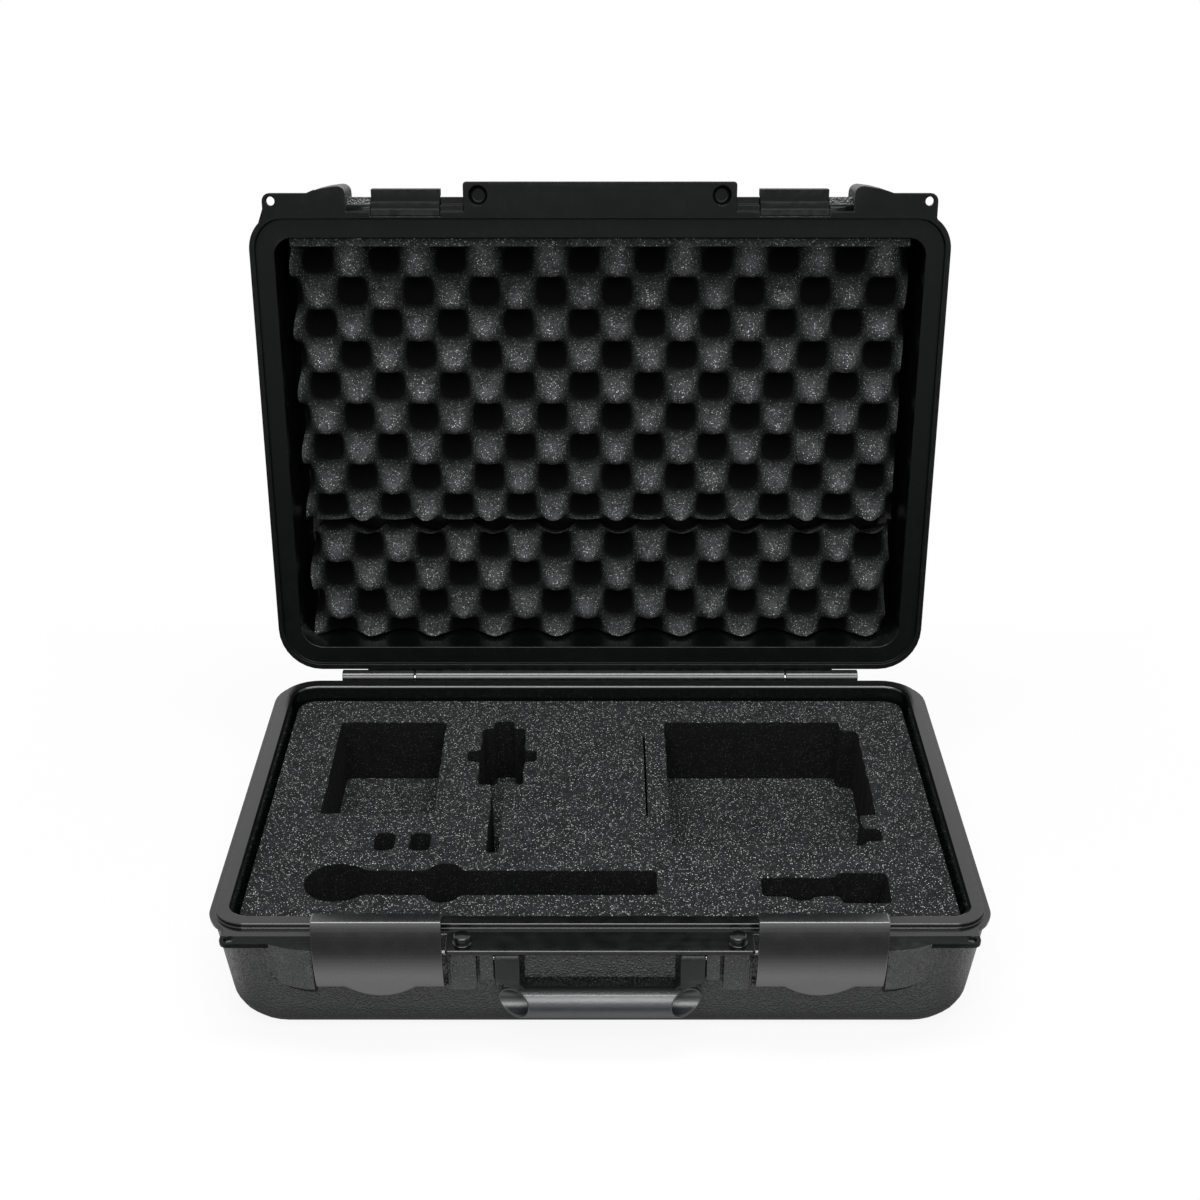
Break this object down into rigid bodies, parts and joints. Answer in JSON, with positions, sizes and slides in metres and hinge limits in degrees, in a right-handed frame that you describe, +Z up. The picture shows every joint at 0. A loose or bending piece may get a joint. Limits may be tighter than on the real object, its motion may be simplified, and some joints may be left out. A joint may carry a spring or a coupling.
{
  "type": "hard_equipment_case",
  "caption": "Open hard carrying case: two moulded halves on a pinned hinge, wide draw latches, a hanging bail handle, a die-cut foam tray and convoluted foam in the lid.",
  "frame": {"origin": "Centre of the flat underside of the base, with y = 0 midway between the padlock holes and the back edge of the rim.", "axes": "+Z up, +X to the right seen from the latches, +Y from the latches to the hinge. The underside rests on z = 0."},
  "size_m": [0.5, 0.4986, 0.4366],
  "materials": {
    "shell": "satin",
    "fitting": "gloss",
    "latch": "satin",
    "grip": "satin",
    "pin": "satin",
    "foam": "matte"
  },
  "bodies": {
    "base": {"base_shell": "shell", "base_foam_pad": "foam", "base_foam_tray": "foam", "hinge_pin": "pin", "handle_pin_left": "pin", "handle_pin_right": "pin", "snap_post_left": "fitting", "snap_post_right": "fitting", "latch_base_pin_left": "pin", "latch_base_pin_right": "pin"},
    "lid": {"lid_shell": "shell", "lid_foam_upper": "foam", "lid_foam_lower": "foam", "lid_catch_left": "fitting", "lid_catch_right": "fitting"},
    "handle": {"handle": "grip"},
    "latch_left_link": {"latch_link_left": "fitting", "latch_lever_pin_left": "pin"},
    "latch_right_link": {"latch_link_right": "fitting", "latch_lever_pin_right": "pin"},
    "latch_left_lever": {"latch_lever_left": "latch"},
    "latch_right_lever": {"latch_lever_right": "latch"}
  },
  "joints": [
    {"name": "lid_hinge", "type": "hinge", "parent": "base", "child": "lid", "pos_m": [0, 0.1781, 0.08], "axis": [1, 0, 0], "range_deg": [0, 100]},
    {"name": "handle_hinge", "type": "hinge", "parent": "base", "child": "handle", "pos_m": [0, -0.179, 0.0718], "axis": [-1, 0, 0], "range_deg": [0, 90]},
    {"name": "latch_left_link_hinge", "type": "hinge", "parent": "base", "child": "latch_left_link", "pos_m": [-0.1378, -0.175, 0.0725], "axis": [-1, 0, 0], "range_deg": [0, 50]},
    {"name": "latch_right_link_hinge", "type": "hinge", "parent": "base", "child": "latch_right_link", "pos_m": [0.1378, -0.175, 0.0725], "axis": [-1, 0, 0], "range_deg": [0, 50]},
    {"name": "latch_left_lever_hinge", "type": "hinge", "parent": "latch_left_link", "child": "latch_left_lever", "pos_m": [-0.1378, -0.1715, 0.058], "axis": [1, 0, 0], "range_deg": [0, 40]},
    {"name": "latch_right_lever_hinge", "type": "hinge", "parent": "latch_right_link", "child": "latch_right_lever", "pos_m": [0.1378, -0.1715, 0.058], "axis": [1, 0, 0], "range_deg": [0, 40]}
  ]
}
